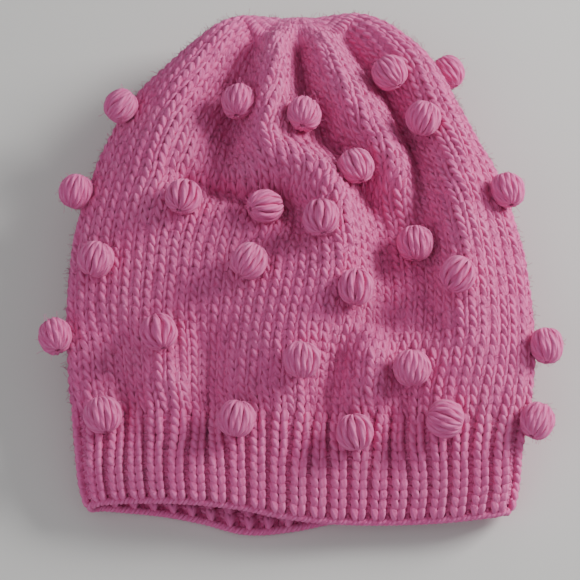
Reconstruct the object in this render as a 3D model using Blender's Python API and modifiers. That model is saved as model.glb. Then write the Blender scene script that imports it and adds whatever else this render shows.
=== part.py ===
"""Hand-knitted pom pom beanie: a ribbed band, a stockinette body, a gathered crown and worked bobbles.

The hat lies flat, face up, as it rests on a table.  Units are metres.  +X is to the right, +Y runs
from the band to the crown and +Z is up.  The origin is under the middle of the hat, on the table.
"""
import math

import bpy
import numpy as np
from mathutils import Vector
from mathutils.bvhtree import BVHTree

MM = 0.001

# Driving dimensions.
RIB_COURSES = 11            # knitted courses in the ribbed band
BODY_COURSES = 53           # knitted courses from the band to the closed crown
CROWN_FROM = 44             # course at which the pleated crown begins
RIB_THICK = 5.4 * MM        # ribbing springs into a thicker fabric
FABRIC_THICK = 4.4 * MM     # stockinette
YARN_RADIUS = 1.35 * MM
JOIN_GAP = 1.2 * MM         # between neighbouring lengths of fabric
SEAT_GAP = 0.3 * MM         # between a bobble and the fabric under it
BOBBLE_RADIUS = 8.9 * MM
BOBBLE_HEIGHT = 14.6 * MM
PRESSED_RADIUS = 9.8 * MM  # a bobble under the hat is pressed flat by its weight
PRESSED_HEIGHT = 10.4 * MM
SEGMENTS = 80               # faces round the hat
CLOSING_Y = 133.8 * MM      # where the drawn yarn closes the crown
TAIL_WALE = 48              # wale of the back that the cast-on tail follows
MIDDLE = (0.16 * MM, 14.89 * MM)  # middle of the footprint, which becomes the origin

# Guide wales, in millimetres: the outline on the left and on the right, and the middle of the front
# and of the back.  The first RIB_POINTS points of each belong to the ribbed band.
RIB_POINTS = 4
LEFT = [(-97.5, -104.5, 9), (-100, -94, 13), (-101.8, -80, 18), (-103.8, -64, 21), (-106, -53, 22),
        (-107.6, -38, 23), (-109, -17, 24), (-109, 0, 24), (-107.9, 19, 24), (-105.5, 34, 24),
        (-102, 47, 24.5), (-97.3, 63, 25), (-92, 76.5, 25), (-85, 91.5, 25), (-76, 104, 25),
        (-66.5, 114, 25), (-55, 126, 25), (-43, 135.5, 25), (-30, 141.5, 25), (-18, 142.5, 25),
        (-9, 141, 25), (-5, 136.5, 25)]
RIGHT = [(96.3, -106, 8), (98.6, -96, 11), (100.3, -81, 16), (103.6, -66.5, 20), (106.3, -56, 22),
         (108.3, -41, 23), (108.8, -27, 23.5), (108.3, -13, 24), (107.2, 3, 24), (105.3, 17.5, 24),
         (102.6, 29, 24), (99.3, 43.8, 24), (93.5, 60.8, 24), (86.7, 74, 24.5), (80.5, 86, 25),
         (75, 96, 25), (70.6, 106, 25), (66, 115.5, 25), (58.5, 124.5, 25), (48.5, 133, 25),
         (37, 140, 25), (25, 143, 25), (10, 141.5, 25), (5, 136.5, 25)]
FRONT = [(0, -108.5, 17), (0, -97, 21), (0, -82, 25), (0, -66, 29), (0, -45, 34), (0, -20, 38),
         (0, 10, 41), (0, 40, 42.5), (0, 70, 43), (0, 92, 42.5), (0, 110, 40.5), (0, 124, 38),
         (0, 134, 34.5), (0, 139.8, 31), (0, 140.5, 29), (0, 136, 28)]
BACK = [(0, -111, 3.15), (0, -98, 3.15), (0, -83, 3.35), (0, -66, 5.5), (0, -52, 10.4), (0, -38, 13.4),
        (0, -20, 13.6), (0, 20, 13.6), (0, 60, 13.6), (0, 98, 13.6), (0, 120, 14), (0, 133, 15.8),
        (0, 140, 18.5), (0, 141, 20.3), (0, 136, 21)]

# How far the knitted edge stands back from, or beyond, an even line: (x, shift), in millimetres.
FRONT_EDGE = [(-110, 0), (-92, 2), (-72, 4), (-50, 4.5), (-28, 2.5), (-8, -1.5), (14, -4), (40, -5),
              (66, -4.5), (88, -2.5), (110, 0)]
BACK_EDGE = [(-110, 0), (-90, 2), (-66, 2.5), (-46, 0.5), (-26, -3.5), (-6, -2), (14, 2), (40, 4.5),
             (66, 4), (88, 2), (110, 0)]

# Folds of the front, in millimetres.  Each fold is a line of points (x, y, height, width to its left,
# width to its right), read from the crown down, so its left is toward +X.
FRONT_FOLDS = {
    "left valley": [(-20, 148.5, 0, 7, 7), (-21.8, 133, -7, 7, 8), (-25.6, 119, -11, 8, 10),
                    (-30.3, 105, -15, 8, 12), (-33, 91, -17, 9, 13), (-34.8, 75, -16, 9, 14),
                    (-36, 61, -12, 9, 14), (-37.5, 52, -6, 9, 12), (-38.5, 43, 0, 9, 12)],
    "first pleat": [(-8, 148.5, 0, 7, 7), (-8.3, 134, 6, 7, 7), (-10.2, 121, 8, 7, 7),
                    (-12.6, 102, 9, 8, 7), (-15.5, 85, 9, 8, 7), (-17, 69, 9, 8, 7),
                    (-13.5, 60, 8, 8, 8), (-2, 56, 9, 8, 10), (10, 49, 10, 7, 12), (18, 36, 11, 7, 14),
                    (20.5, 20, 11, 7, 16), (17, 4, 9, 7, 17), (13, -12, 7, 7, 16), (9, -30, 4, 9, 14),
                    (7, -54, 0, 10, 12)],
    "middle valley": [(-1.3, 148.5, 0, 6, 6), (-1.3, 134, -7, 6.5, 6.5), (-0.4, 119, -11, 7, 7),
                      (1.6, 102, -14, 8, 8), (6, 85.5, -15, 9, 8.5), (13.3, 72, -14, 10, 8.5),
                      (22, 64, -13, 10.5, 9), (28.2, 53, -12, 10.5, 9), (32, 40, -9, 9, 8),
                      (33.5, 24, 0, 9, 7)],
    "second pleat": [(7, 148.5, 0, 8, 7), (7, 133, 5, 8, 7), (11, 116.5, 7, 9, 7),
                     (17.5, 99.5, 8, 10, 7), (25.5, 83, 8, 10, 8), (35.2, 69, 8, 10, 8),
                     (43.5, 57.5, 8, 9, 9), (49, 45, 6, 8, 9), (52, 32, 0, 7, 9)],
    "right valley": [(19, 148.5, 0, 7, 7), (19.2, 135, -5, 7, 7), (29, 120, -9, 7, 7),
                     (39.6, 105, -12, 7, 8), (48, 91, -14, 8, 8), (54.6, 75, -14, 7, 9),
                     (58.8, 58, -14, 7, 9), (60.5, 37, -12, 7, 10), (62.4, 16.4, -11, 7, 11),
                     (63.3, -4, -9, 7, 12), (61.6, -24, -5, 8, 12), (59.4, -39, 0, 9, 12)],
    "trough": [(38, 52, 0, 12, 12), (41, 40, -8, 14, 12), (42, 21.5, -13, 14, 12), (42, 1, -14, 14, 12),
               (42, -19, -9, 14, 12), (42.6, -42, 0, 14, 12)],
    "right panel": [(26, 148.5, 0, 9, 9), (27, 137, 4, 9, 9), (40, 129, 6, 10, 9),
                    (53.7, 114.6, 7, 10, 9), (64, 97, 7, 11, 9), (71, 75, 7, 11, 9),
                    (74.3, 50.5, 7, 12, 8), (76.6, 24, 7, 12, 8), (78, -4, 6, 13, 9),
                    (77.5, -29, 4, 14, 11), (75, -54, 0, 14, 13)],
    "left panel": [(-28, 148.5, 0, 8, 8), (-28, 136, 5, 8, 8), (-37, 127.5, 6, 9, 9),
                   (-47, 113.5, 6, 10, 10), (-56.4, 97, 6, 11, 12), (-62.4, 80, 6, 12, 14),
                   (-67.7, 62, 5, 14, 16), (-71.7, 37, 3, 16, 18), (-76, 11, 0, 18, 20)],
    "crease": [(3, 12, 0, 8, 7), (1, 21, -7, 9, 7), (-2, 30, -10, 9, 7), (-12, 37, -14, 9, 7),
               (-26, 40, -14, 9, 7), (-41, 44, -12, 9, 7), (-55, 49, -8, 9, 7), (-68, 55, 0, 9, 8)],
    "dome": [(-8, 14, 0, 18, 18), (-9, -8, 5, 18, 18), (-9, -35, 6, 18, 18), (-9, -60, 3, 17, 17),
             (-10, -80, 0, 17, 17)],
    "band left": [(-50, -64, 0, 26, 26), (-52, -84, 1.5, 28, 28), (-52, -104, 4, 28, 28),
                  (-52, -126, 4.5, 28, 28)],
    "band right": [(46, -70, 0, 30, 36), (47, -90, -2, 32, 40), (47, -104, -4, 34, 40),
                   (47, -126, -4.5, 34, 40)],
    "low valley a": [(49.5, -32, 0, 10, 10), (47.5, -51, -6, 10, 10), (45.4, -66, -8, 10, 10),
                     (43.7, -80, -6, 10, 10), (42.5, -98, 0, 10, 10)],
    "low valley b": [(18, -25, 0, 7, 7), (16.4, -41.5, -6, 8, 8), (13, -58.7, -8, 8, 8),
                     (10, -76, -6, 9, 9), (8.3, -94, 0, 9, 9)],
    "low valley c": [(-43, -18, 0, 9, 9), (-42.5, -37, -6, 9, 9), (-42.5, -56, -8, 9, 9),
                     (-43.8, -74, -6, 9, 9), (-44.4, -90, 0, 9, 9)],
    "low valley d": [(-89, -16, 0, 10, 10), (-85, -37, -6, 10, 10), (-82, -53, -6, 10, 10),
                     (-80, -72, -3, 10, 10), (-79, -92, 0, 10, 10)],
    "low ridge": [(32, -20, 0, 7, 7), (33, -39, 5, 7, 7), (33.5, -56, 5, 7, 7), (33, -72, 0, 7, 7)],
    "low ridge left": [(-65, -30, 0, 10, 10), (-63, -52, 4, 10, 10), (-62, -68, 2, 10, 10),
                       (-62, -84, 0, 10, 10)],
}
# Folds of the back are pushed up into the hat, so their heights are below nothing.
BACK_FOLDS = {
    "back a": [(-30, 150, 0, 7, 7), (-34, 132, -4, 8, 8), (-42, 108, -4, 9, 9), (-48, 82, 0, 9, 9)],
    "back b": [(-9, 151, 0, 7, 7), (-12, 131, -4.5, 8, 8), (-14, 104, -4.5, 9, 9), (-15, 78, 0, 9, 9)],
    "back c": [(13, 151, 0, 7, 7), (15, 131, -4.5, 8, 8), (17, 104, -4.5, 9, 9), (18, 78, 0, 9, 9)],
    "back d": [(32, 150, 0, 7, 7), (38, 131, -4, 8, 8), (46, 106, -4, 9, 9), (52, 82, 0, 9, 9)],
}
CAP_HALF_WIDTH = 33 * MM    # inside this width the wales turn over the top and run to the middle
CAP_Y = 139 * MM
SQUARENESS_FRONT, SQUARENESS_BACK = 2.5, 3.0

# Worked bobbles, in millimetres.  Letters are the rounds they were worked in, from the band up.
FRONT_BOBBLES = {
    "a": [(-91, -69), (-28.4, -71), (25, -77), (66.4, -70)],
    "b": [(-65, -31), (0, -46.5), (51.6, -47.5)],
    "c": [(-97.3, 6), (-23.5, 1.3), (26.4, -11.3), (75, -5)],
    "d": [(-54.7, 34.4), (-17.2, 31), (8.9, 20.5), (54.6, 15.7)],
    "e": [(-31, 88.5), (2.2, 78.5), (27.3, 51.8), (57.7, 77.6)],
    "f": [(-58, 118, 18), (42.8, 103.4), (66, 111, 24)],
}
EDGE_BOBBLES = {            # these stand on the outline
    "a": [(109, -69, 24)],
    "b": [(-117, -29, 30), (116, -33.5, 30)],
    "d": [(-111, 46.5, 34), (101.5, 42.5, 40)],
    "e": [(-88, 89.5, 42)],
}
BACK_BOBBLES = {            # these are pressed between the hat and the table
    "a": [(-72, -25), (-22, -23), (30, -26), (80, -22)],
    "b": [(-48, 8), (4, 10), (56, 6)],
    "c": [(-82, 38), (-26, 42), (30, 40), (82, 37)],
    "d": [(-58, 74), (0, 73), (56, 75)],
    "e": [(-28, 108), (30, 110)],
}

PINK = (0.80, 0.165, 0.375)
PINK_DEEP = (0.76, 0.145, 0.345)


def clear_scene():
    """Take everything out of the open file."""
    for item in list(bpy.data.objects):
        bpy.data.objects.remove(item, do_unlink=True)
    for group in (bpy.data.meshes, bpy.data.curves, bpy.data.materials, bpy.data.collections):
        for item in list(group):
            group.remove(item)


def yarn_material(name, colour, roughness=0.92):
    """A matt yarn colour."""
    material = bpy.data.materials.new(name)
    material.use_nodes = True
    shader = material.node_tree.nodes["Principled BSDF"]
    shader.inputs["Base Color"].default_value = (*colour, 1.0)
    shader.inputs["Roughness"].default_value = roughness
    shader.inputs["Metallic"].default_value = 0.0
    material.diffuse_color = (*colour, 1.0)
    return material


def rounded(points, steps=10):
    """A smooth line through the points (Catmull-Rom)."""
    p = np.asarray(points, float)
    p = np.vstack([2 * p[0] - p[1], p, 2 * p[-1] - p[-2]])
    out = []
    for i in range(1, len(p) - 2):
        t = np.linspace(0, 1, steps, endpoint=False)[:, None]
        out.append(0.5 * (2 * p[i] + (p[i + 1] - p[i - 1]) * t
                          + (2 * p[i - 1] - 5 * p[i] + 4 * p[i + 1] - p[i + 2]) * t ** 2
                          + (3 * p[i] - p[i - 1] - 3 * p[i + 1] + p[i + 2]) * t ** 3))
    out.append(p[-2][None, :])
    return np.vstack(out)


class GuideWale:
    """One wale of the hat, read by course number."""

    def __init__(self, points, steps=10):
        self.line = rounded(points, steps) * MM
        self.arc = np.concatenate([[0], np.cumsum(np.linalg.norm(np.diff(self.line, axis=0), axis=1))])
        self.rib_arc = self.arc[(RIB_POINTS - 1) * steps]

    def length_at(self, course):
        rib = self.rib_arc * course / RIB_COURSES
        body = self.rib_arc + (self.arc[-1] - self.rib_arc) * (course - RIB_COURSES) / BODY_COURSES
        return np.where(course < RIB_COURSES, rib, body)

    def at(self, course):
        s = self.length_at(course)
        return np.stack([np.interp(s, self.arc, self.line[:, k]) for k in range(3)], -1)


def fold_height(x, y, folds):
    """Height that a set of folds adds at the points (x, y)."""
    total = np.zeros_like(x)
    for line in folds.values():
        best = np.zeros_like(x)
        for (x0, y0, h0, l0, r0), (x1, y1, h1, l1, r1) in zip(line, line[1:]):
            dx, dy = (x1 - x0) * MM, (y1 - y0) * MM
            t = np.clip(((x - x0 * MM) * dx + (y - y0 * MM) * dy) / (dx * dx + dy * dy), 0, 1)
            ex, ey = x - x0 * MM - t * dx, y - y0 * MM - t * dy
            on_left = dx * ey - dy * ex > 0
            width = np.where(on_left, l0 + (l1 - l0) * t, r0 + (r1 - r0) * t) * MM
            rise = (h0 + (h1 - h0) * t) * MM * np.exp(-(ex * ex + ey * ey) / (width * width))
            best = np.where(np.abs(rise) > np.abs(best), rise, best)
        total += best
    return total


class HatSurface:
    """The middle of the knitted fabric, as rings of points, one ring for each course asked for."""

    def __init__(self, fine=360):
        self.left, self.right = GuideWale(LEFT), GuideWale(RIGHT)
        self.front, self.back = GuideWale(FRONT), GuideWale(BACK)
        self.front_edge, self.back_edge = rounded(FRONT_EDGE) * MM, rounded(BACK_EDGE) * MM
        self.angle = np.linspace(0, 2 * math.pi, fine, endpoint=False)

    def smooth_rings(self, courses):
        """Unfolded rings; an angle of 0 is the right edge, and the front comes next."""
        course = np.asarray(courses, float)
        left, right = self.left.at(course)[:, None], self.right.at(course)[:, None]
        front, back = self.front.at(course)[:, None], self.back.at(course)[:, None]
        c, s = np.cos(self.angle)[None, :], np.sin(self.angle)[None, :]
        half = (right - left)[..., 0] / 2
        round_top = np.clip((half - 8 * MM) / (30 * MM), 0, 1)
        flat = np.clip(1 - course / (RIB_COURSES + 5), 0, 1)[:, None]
        n = 2 + round_top * (np.where(s >= 0, SQUARENESS_FRONT, SQUARENESS_BACK) - 2 + 1.4 * flat)
        across = np.sign(c) * np.abs(c) ** (2 / n)
        rise = np.abs(s) ** (2 / n)
        middle, reach = (left + right) / 2, (right - left) / 2
        edge = middle + reach * across[..., None]
        far = np.where((s >= 0)[..., None], front, back)
        x = edge[..., 0]
        shift = np.where(s >= 0, np.interp(x, *self.front_edge.T), np.interp(x, *self.back_edge.T))
        shift *= np.clip(1 - course / RIB_COURSES, 0, 1)[:, None] * np.clip(np.abs(s) * 2.2, 0, 1)
        y = edge[..., 1] + (far[..., 1] - middle[..., 1]) * (1 - across ** 2) + shift
        z = edge[..., 2] + (far[..., 2] - middle[..., 2]) * rise
        return np.stack([x, y, z], -1), middle[..., 0], half

    def folded_rings(self, courses):
        """Rings with the folds added along the fabric's own normal."""
        course = np.asarray(courses, float)
        rings, middle, half = self.smooth_rings(course)
        lower = self.smooth_rings(course - 0.25)[0]
        upper = self.smooth_rings(np.minimum(course + 0.25, RIB_COURSES + BODY_COURSES))[0]
        along = upper - lower
        around = np.roll(rings, -1, 1) - np.roll(rings, 1, 1)
        normal = np.cross(along, around)
        normal /= np.linalg.norm(normal, axis=-1, keepdims=True) + 1e-12
        cap = half < CAP_HALF_WIDTH
        spread = np.where(cap, CAP_HALF_WIDTH / np.maximum(half, 1e-6), 1.0)
        fold_x = middle + (rings[..., 0] - middle) * spread
        cap_course = course[np.argmax(cap[:, 0])] if cap.any() else 1e9
        beyond = np.maximum(self.front.length_at(course) - self.front.length_at(np.array(cap_course)), 0)
        fold_y = np.where(cap, CAP_Y + beyond[:, None] * 0.8, rings[..., 1])
        is_front = (np.sin(self.angle) > 0)[None, :]
        fade = np.clip(np.abs(np.sin(self.angle))[None, :] * 2.2, 0, 1)
        height = np.where(is_front, fold_height(fold_x, fold_y, FRONT_FOLDS),
                          fold_height(fold_x, fold_y, BACK_FOLDS)) * fade
        return rings + normal * height[..., None]

    def rings(self, courses, count):
        """The folded rings with `count` points each, half of them on the front, evenly spread."""
        folded = self.folded_rings(courses)
        half = len(self.angle) // 2
        out = np.empty((len(folded), count, 3))
        for i, ring in enumerate(folded):
            for start, slot in ((0, 0), (half, count // 2)):
                part = np.vstack([ring[start:start + half], ring[(start + half) % len(ring)]])
                arc = np.concatenate([[0], np.cumsum(np.linalg.norm(np.diff(part, axis=0), axis=1))])
                s = np.linspace(0, arc[-1], count // 2, endpoint=False)
                for k in range(3):
                    out[i, slot:slot + count // 2, k] = np.interp(s, arc, part[:, k])
        return out

    def cloth(self, courses, count):
        """Rings of the fabric's middle, and the way out of the fabric at each of their points."""
        step = 0.3
        course = np.asarray(courses, float)
        last = RIB_COURSES + BODY_COURSES
        middle = self.rings(course, count)
        along = self.rings(np.minimum(course + step, last), count) - self.rings(course - step, count)
        out = np.cross(along, np.roll(middle, -1, 1) - np.roll(middle, 1, 1))
        return middle, out / np.linalg.norm(out, axis=-1, keepdims=True)


def sheet(name, outside, inside, collection, material, parent):
    """A closed solid between two grids of points: up the outside, over the edge, down the inside."""
    rings = np.concatenate([outside, inside[::-1]])
    rows, count, _ = rings.shape
    faces = [(r * count + i, (r + 1) % rows * count + i, (r + 1) % rows * count + i + 1,
              r * count + i + 1) for r in range(rows) for i in range(count - 1)]
    for i, first, second in ((0, 1, 0), (count - 1, 0, 1)):
        for r in range(rows // 2 - 1):
            near, far = (r + first) * count + i, (r + second) * count + i
            below = (rows - 1 - r - second) * count + i
            faces.append((near, far, below, (rows - 1 - r - first) * count + i))
    mesh = bpy.data.meshes.new(name)
    mesh.from_pydata(rings.reshape(-1, 3).tolist(), [], faces)
    mesh.materials.append(material)
    mesh.shade_smooth()
    mesh.set_sharp_from_angle(angle=math.radians(60))
    return place(name, mesh, collection, parent)


def place(name, data, collection, parent):
    """Link new object data under the hat's empty."""
    item = bpy.data.objects.new(name, data)
    collection.objects.link(item)
    item.parent = parent
    return item


def fabric(name, surface, courses, thick, collection, material, parent, tip=1.0):
    """The front and the back of a length of fabric, which face each other across the hat.

    Its last four rows thin down to `tip` of its thickness.
    """
    fine = SEGMENTS * 8
    middle, out = surface.cloth(courses, fine)
    thick = thick * np.concatenate([np.ones(len(courses) - 4), np.linspace(1, tip, 4)])[:, None, None]
    # Columns are closer together near the sides, where the fabric turns sharply.
    ends = np.array([0, 2, 4.5])
    column = np.concatenate([ends, np.arange(1, SEGMENTS // 2) * 8.0, fine / 2 - ends[::-1]])
    step = np.linalg.norm(middle - np.roll(middle, 1, 1), axis=-1).mean(1, keepdims=True)
    cut = JOIN_GAP / 2 / step
    row = np.arange(len(courses))[:, None]
    snug = np.clip(0.5 + np.minimum(column, fine / 2 - column) / 24, 0, 1)[None, :, None]
    sides = []
    for side, start in (("front", 0), ("back", fine // 2)):
        at = start + cut + column[None, :] * (1 - 4 * cut / fine)
        low = np.floor(at).astype(int)
        share = (at - low)[..., None]
        m = middle[row, low % fine] * (1 - share) + middle[row, (low + 1) % fine] * share
        o = out[row, low % fine] * (1 - share) + out[row, (low + 1) % fine] * share
        sides.append(sheet("%s_%s" % (name, side), m + o * thick / 2, m - o * snug * thick / 2,
                           collection, material, parent))
    return sides


def yarn(name, points, radius, collection, material, parent, closed=False):
    """A length of yarn through the points, with filled ends unless it is a ring."""
    curve = bpy.data.curves.new(name, "CURVE")
    curve.dimensions = "3D"
    curve.bevel_depth = radius
    curve.bevel_resolution = 1
    curve.use_fill_caps = not closed
    spline = curve.splines.new("POLY")
    spline.points.add(len(points) - 1)
    for point, (x, y, z) in zip(spline.points, points):
        point.co = (x, y, z, 1.0)
    spline.use_cyclic_u = closed
    spline.use_smooth = True
    curve.materials.append(material)
    return place(name, curve, collection, parent)


def bobble_profile(radius, height, foot, top):
    """Half outline of a bobble: a flat foot, a full belly and a top, read from the top down."""
    rows = [(0.0, height)]
    if top > 0:
        rows.append((top, height))
    for i in range(1, 6):
        a = math.pi * i / 6
        belly = math.sin(a) ** 0.75
        low, high = (foot, top)
        edge = low + (high - low) * (0.5 + 0.5 * math.cos(a))
        rows.append((edge + (radius - edge) * belly, height * (0.5 + 0.5 * math.cos(a))))
    rows += [(foot, 0.0), (0.0, 0.0)]
    return rows


def bobble_mesh(name, profile, material):
    """The outline as a mesh of edges in the XZ plane, to be turned round Z."""
    mesh = bpy.data.meshes.new(name)
    points = [(r, 0.0, z) for r, z in profile]
    mesh.from_pydata(points, [(i, i + 1) for i in range(len(points) - 1)], [])
    mesh.materials.append(material)
    return mesh


def turn(item):
    """Turn an outline round its own Z axis."""
    screw = item.modifiers.new("turned", "SCREW")
    screw.axis = "Z"
    screw.angle = 2 * math.pi
    screw.steps = screw.render_steps = 10
    screw.use_merge_vertices = True
    screw.merge_threshold = 0.00005
    screw.use_smooth_shade = True


def solid_points(item):
    """Points, in the hat's own frame, and triangles of an object as built."""
    evaluated = item.evaluated_get(bpy.context.evaluated_depsgraph_get())
    mesh = evaluated.to_mesh()
    points = [item.matrix_basis @ v.co for v in mesh.vertices]
    mesh.calc_loop_triangles()
    faces = [tuple(t.vertices) for t in mesh.loop_triangles]
    evaluated.to_mesh_clear()
    return points, faces


def seat(item, cloth, outward, start, stop, step):
    """Move a bobble outward until it clears the fabric by the seat gap; False if it can't."""
    bpy.context.view_layer.update()
    points, faces = solid_points(item)
    home = item.location.copy()
    clear, d = 0, start
    while d <= stop:
        shift = outward * d
        moved = [p + shift for p in points]
        near = min(cloth.find_nearest(p)[3] for p in moved)
        free = near >= SEAT_GAP and not BVHTree.FromPolygons(moved, faces).overlap(cloth)
        clear = clear + 1 if free else 0
        if clear == 2 or (free and start == stop):
            item.location = home + shift
            return True
        d += step
    return False


def main():
    clear_scene()
    parts = bpy.data.collections.new("pom_pom_beanie")
    bpy.context.scene.collection.children.link(parts)
    hat = bpy.data.objects.new("hat", None)
    parts.objects.link(hat)
    hat.location = (-MIDDLE[0], -MIDDLE[1], 0.0)

    surface = HatSurface()
    last = RIB_COURSES + BODY_COURSES
    course_height = 4.1 * MM
    gap = JOIN_GAP / course_height / 2
    edge_room = (YARN_RADIUS * 1.5 + 3 * SEAT_GAP) / course_height

    rib_rows = np.linspace(edge_room, RIB_COURSES - gap, 6)
    body_rows = np.linspace(RIB_COURSES + gap, CROWN_FROM - gap, 16)
    crown_rows = [*np.linspace(CROWN_FROM + gap, last - 5, 9), *np.linspace(last - 4, last, 4)]
    rib = fabric("rib_band", surface, rib_rows, RIB_THICK, parts, yarn_material("rib yarn", PINK), hat)
    body = fabric("hat_body", surface, body_rows, FABRIC_THICK, parts,
                  yarn_material("body yarn", PINK), hat)
    crown = fabric("crown", surface, crown_rows, FABRIC_THICK, parts,
                   yarn_material("crown yarn", PINK), hat, tip=0.6)

    # The cast-on edge is a looped strand that follows the opening.
    first, second = surface.rings([rib_rows[0], rib_rows[0] + 0.6], SEGMENTS)
    away = (first - second) / np.linalg.norm(first - second, axis=-1, keepdims=True)
    edge_line = first + away * (YARN_RADIUS * 1.4 + 4 * SEAT_GAP)
    yarn("cast_on_edge", edge_line.tolist(), YARN_RADIUS * 1.4, parts,
         yarn_material("edge yarn", PINK_DEEP), hat, closed=True)

    # The yarn drawn through the last stitches, and its tail inside the hat.
    ring = [(4.6 * MM * math.cos(a), CLOSING_Y, 25 * MM + 4.2 * MM * math.sin(a))
            for a in np.linspace(0, 2 * math.pi, 20, endpoint=False)]
    yarn("crown_closing_yarn", ring, YARN_RADIUS, parts, yarn_material("closing yarn", PINK_DEEP), hat,
         closed=True)
    tail = [(1.0 * MM + 9 * MM * t + 2.0 * MM * math.sin(5 * t),
             CLOSING_Y - 2.6 * MM - 52 * MM * t,
             24.5 * MM - 1.5 * MM * t) for t in np.linspace(0, 1, 12)]
    yarn("closing_tail", tail, YARN_RADIUS, parts, yarn_material("tail yarn", PINK_DEEP), hat)
    # The cast-on tail is darned up the inside of the back, near the left edge.
    middle, out = surface.cloth(np.linspace(1.8, 9.2, 12), 88)
    inside = middle - out * (RIB_THICK / 2 + YARN_RADIUS + 2 * SEAT_GAP)
    yarn("cast_on_tail", inside[:, TAIL_WALE].tolist(), YARN_RADIUS, parts,
         yarn_material("cast-on tail yarn", PINK_DEEP), hat)

    bpy.context.view_layer.update()
    points, faces = [], []
    for item in rib + body + crown:
        p, f = solid_points(item)
        base = len(points)
        points += p
        faces += [tuple(base + i for i in face) for face in f]
    cloth = BVHTree.FromPolygons(points, faces)

    # Where a bobble can be worked: points just above the fabric, with the way out of it.
    grid = surface.rings(np.arange(2.0, last - 3, 0.5), 176)
    along = np.gradient(grid, axis=0)
    around = np.roll(grid, -1, 1) - np.roll(grid, 1, 1)
    out = np.cross(along, around)
    out /= np.linalg.norm(out, axis=-1, keepdims=True)
    # A bobble spans about a centimetre, so it stands square to the fabric averaged over that.
    wide = sum(np.roll(out, k, 1) for k in range(-4, 5))
    padded = np.pad(wide, ((4, 4), (0, 0), (0, 0)), mode="edge")
    out = sum(padded[k:k + len(wide)] for k in range(9))
    out /= np.linalg.norm(out, axis=-1, keepdims=True)
    foot = grid + out * (FABRIC_THICK / 2)
    middle = foot + out * (BOBBLE_HEIGHT / 2)

    round_profile = bobble_profile(BOBBLE_RADIUS, BOBBLE_HEIGHT, 5.0 * MM, 3.5 * MM)
    flat_profile = bobble_profile(PRESSED_RADIUS, PRESSED_HEIGHT, 7.0 * MM, 6.0 * MM)

    def bobble(name, profile):
        mesh = bobble_mesh(name, profile, yarn_material(name + " yarn", PINK))
        item = place(name, mesh, parts, hat)
        turn(item)
        item.rotation_mode = "QUATERNION"
        return item

    def stand(item, origin, direction, climb):
        item.rotation_quaternion = Vector(direction).to_track_quat("Z", "Y")
        item.location = origin
        return seat(item, cloth, Vector(direction).normalized(), 0.0, climb, 0.25 * MM)

    # A bobble that climbs to clear a fold drifts off its place, so its aim is then corrected.
    for start, table in (("bobble_", FRONT_BOBBLES), ("bobble_edge_", EDGE_BOBBLES)):
        for letter, places in table.items():
            for number, place_mm in enumerate(places, 1):
                wanted = np.array(place_mm) * MM
                n = len(wanted)
                choice = middle[:, :88] if n == 2 else middle
                item = bobble(start + letter + str(number), round_profile)
                aim, tries = wanted.copy(), []
                for _ in range(6):
                    cost = np.linalg.norm(choice[..., :n] - aim, axis=-1)
                    r, c = np.unravel_index(np.argmin(cost), cost.shape)
                    if stand(item, foot[r, c], out[r, c], 24 * MM):
                        reached = (np.array(item.location) + out[r, c] * BOBBLE_HEIGHT / 2)[:n]
                        tries.append((np.linalg.norm(reached - wanted), r, c))
                        aim = aim + 0.7 * (wanted - reached)
                    else:
                        aim = aim + np.array([-1.0, -1.0, 0.0][:n]) * MM
                    if tries and tries[-1][0] < 2 * MM:
                        break
                if not tries:
                    raise RuntimeError("no clear seat for " + item.name)
                _, r, c = min(tries)
                stand(item, foot[r, c], out[r, c], 24 * MM)
    for letter, places in BACK_BOBBLES.items():
        for number, (x, y) in enumerate(places, 1):
            item = bobble("bobble_back_%s%d" % (letter, number), flat_profile)
            if not stand(item, (x * MM, y * MM, PRESSED_HEIGHT), (0, 0, -1), 0.0):
                raise RuntimeError("no clear seat for " + item.name)


main()
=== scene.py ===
"""Hand-knitted pom pom beanie laid flat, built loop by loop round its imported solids.

Lengths are metres, +X runs to the right, +Y from the ribbed band to the crown, +Z up off the table.
The fabric's surface is read in stitches round the hat and courses up it, and every yarn path is
drawn first on a flat knitting chart in those units, then worked onto the surface.
"""
from __future__ import annotations

import logging
import math
from dataclasses import dataclass, field
from enum import Enum
from typing import Any, Iterable, Sequence

import bpy
import numpy as np
from mathutils import Matrix, Vector


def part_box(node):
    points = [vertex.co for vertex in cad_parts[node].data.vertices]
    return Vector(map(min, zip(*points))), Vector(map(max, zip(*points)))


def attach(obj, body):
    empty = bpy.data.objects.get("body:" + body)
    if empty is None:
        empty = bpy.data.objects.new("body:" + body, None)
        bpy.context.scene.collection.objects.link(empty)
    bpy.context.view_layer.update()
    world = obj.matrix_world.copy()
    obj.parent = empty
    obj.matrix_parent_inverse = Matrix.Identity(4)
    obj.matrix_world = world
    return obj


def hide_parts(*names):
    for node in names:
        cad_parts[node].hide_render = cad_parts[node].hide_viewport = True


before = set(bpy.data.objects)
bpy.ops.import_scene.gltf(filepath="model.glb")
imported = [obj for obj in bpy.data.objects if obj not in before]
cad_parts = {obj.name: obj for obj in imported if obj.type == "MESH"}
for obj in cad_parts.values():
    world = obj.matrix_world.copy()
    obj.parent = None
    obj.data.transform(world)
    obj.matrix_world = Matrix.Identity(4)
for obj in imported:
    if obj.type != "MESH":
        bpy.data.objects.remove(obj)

LOG = logging.getLogger("beanie")
MM = 0.001
TAU = 2 * math.pi
FLOOR_GAP = 0.3 * MM   # the lowest that a loose fibre may lie
FoldLine = Sequence[tuple[float, float, float, float, float]]


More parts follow.
